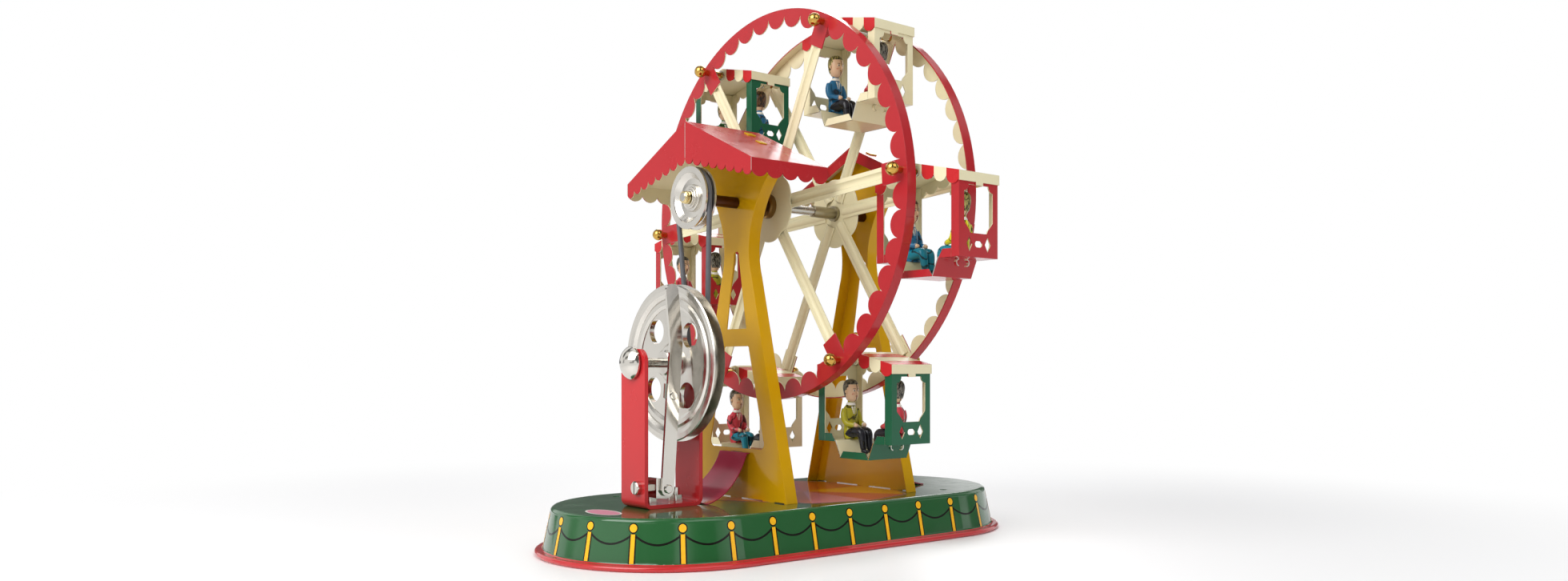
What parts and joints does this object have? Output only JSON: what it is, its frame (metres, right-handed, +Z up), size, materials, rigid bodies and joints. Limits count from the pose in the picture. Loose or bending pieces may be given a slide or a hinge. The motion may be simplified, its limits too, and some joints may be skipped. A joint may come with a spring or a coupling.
{
  "type": "ferris wheel toy",
  "caption": "Pressed tin ferris wheel toy on an oval base: belt-driven wheel between two roofed towers, hanging gondolas with seated riders, a grooved drive pulley and a brake lever.",
  "frame": {"origin": "on the resting plane under the middle of the oval base", "axes": "+X along the wheel axle towards the drive pulley, +Y across the base away from the painted steps, +Z up"},
  "size_m": [0.292, 0.2626, 0.2914],
  "materials": {
    "enamel_green": "gloss",
    "enamel_yellow": "gloss",
    "enamel_red": "gloss",
    "enamel_cream": "gloss",
    "gondola_green": "gloss",
    "printed_tin": "gloss",
    "nickel": "polished",
    "steel": "turned",
    "dark_steel": "blued",
    "brass": "polished",
    "belt_rubber": "matt"
  },
  "bodies": {
    "frame": {"base_pan": "enamel_green", "drive_tower": "enamel_yellow", "far_tower": "enamel_yellow", "drive_roof": "enamel_red", "far_roof": "enamel_red", "drive_ramp": "enamel_red", "far_ramp": "enamel_red", "drive_bracket": "enamel_red", "bracket_screws": "nickel", "bracket_nuts": "nickel", "lever_lug": "nickel", "lug_screw": "nickel", "lug_nut": "nickel", "pivot_rivet": "nickel", "drive_belt": "belt_rubber"},
    "wheel": {"axle": "steel", "spacer_sleeves": "dark_steel", "hub_bushes": "brass", "hub_disc_drive": "enamel_cream", "hub_disc_far": "enamel_cream", "ring_drive": "enamel_red", "ring_far": "enamel_red", "spokes_drive": "enamel_cream", "spokes_far": "enamel_cream", "cross_rods": "steel", "rod_balls": "brass", "rod_spacers": "brass", "rod_washers": "steel", "upper_pulley": "nickel", "end_collar": "nickel", "axle_grub_screws": "dark_steel"},
    "drive": {"drive_shaft": "steel", "shaft_knob": "nickel", "big_pulley": "nickel", "big_pulley_web": "nickel", "pulley_hubs": "nickel", "set_screw": "steel", "belt_pulley": "nickel", "belt_pulley_grub": "dark_steel"},
    "lever": {"brake_lever": "nickel", "brake_shoe": "nickel", "shoe_rivet": "nickel"},
    "gondola_1": {"gondola_1_cabin": "enamel_red", "gondola_1_roof": "enamel_cream", "gondola_1_riders": "printed_tin"},
    "gondola_2": {"gondola_2_cabin": "enamel_cream", "gondola_2_roof": "enamel_cream", "gondola_2_riders": "printed_tin"},
    "gondola_3": {"gondola_3_cabin": "gondola_green", "gondola_3_roof": "enamel_cream", "gondola_3_riders": "printed_tin"},
    "gondola_4": {"gondola_4_cabin": "enamel_red", "gondola_4_roof": "enamel_cream", "gondola_4_riders": "printed_tin"},
    "gondola_5": {"gondola_5_cabin": "enamel_cream", "gondola_5_roof": "enamel_cream", "gondola_5_riders": "printed_tin"},
    "gondola_6": {"gondola_6_cabin": "gondola_green", "gondola_6_roof": "enamel_cream", "gondola_6_riders": "printed_tin"}
  },
  "joints": [
    {"name": "wheel_spin", "type": "hinge", "parent": "frame", "child": "wheel", "pos_m": [-0.014, 0, 0.184], "axis": [1, 0, 0], "continuous": true},
    {"name": "drive_spin", "type": "hinge", "parent": "frame", "child": "drive", "pos_m": [0.0779, 0.005, 0.097], "axis": [1, 0, 0], "continuous": true},
    {"name": "brake_swing", "type": "hinge", "parent": "frame", "child": "lever", "pos_m": [0.0908, 0.01835, 0.034], "axis": [0, 1, 0], "range_deg": [-1, 12]},
    {"name": "gondola_1_hang", "type": "hinge", "parent": "wheel", "child": "gondola_1", "pos_m": [-0.014, 0.10275, 0.19118], "axis": [1, 0, 0], "continuous": true},
    {"name": "gondola_2_hang", "type": "hinge", "parent": "wheel", "child": "gondola_2", "pos_m": [-0.014, 0.04515, 0.27658], "axis": [1, 0, 0], "continuous": true},
    {"name": "gondola_3_hang", "type": "hinge", "parent": "wheel", "child": "gondola_3", "pos_m": [-0.014, -0.0576, 0.26939], "axis": [1, 0, 0], "continuous": true},
    {"name": "gondola_4_hang", "type": "hinge", "parent": "wheel", "child": "gondola_4", "pos_m": [-0.014, -0.10275, 0.17681], "axis": [1, 0, 0], "continuous": true},
    {"name": "gondola_5_hang", "type": "hinge", "parent": "wheel", "child": "gondola_5", "pos_m": [-0.014, -0.04515, 0.09142], "axis": [1, 0, 0], "continuous": true},
    {"name": "gondola_6_hang", "type": "hinge", "parent": "wheel", "child": "gondola_6", "pos_m": [-0.014, 0.0576, 0.09861], "axis": [1, 0, 0], "continuous": true}
  ],
  "couplings": [
    {"joint": "drive_spin", "follows": "wheel_spin", "ratio": 2},
    {"joint": "gondola_1_hang", "follows": "wheel_spin", "ratio": -1},
    {"joint": "gondola_2_hang", "follows": "wheel_spin", "ratio": -1},
    {"joint": "gondola_3_hang", "follows": "wheel_spin", "ratio": -1},
    {"joint": "gondola_4_hang", "follows": "wheel_spin", "ratio": -1},
    {"joint": "gondola_5_hang", "follows": "wheel_spin", "ratio": -1},
    {"joint": "gondola_6_hang", "follows": "wheel_spin", "ratio": -1}
  ]
}
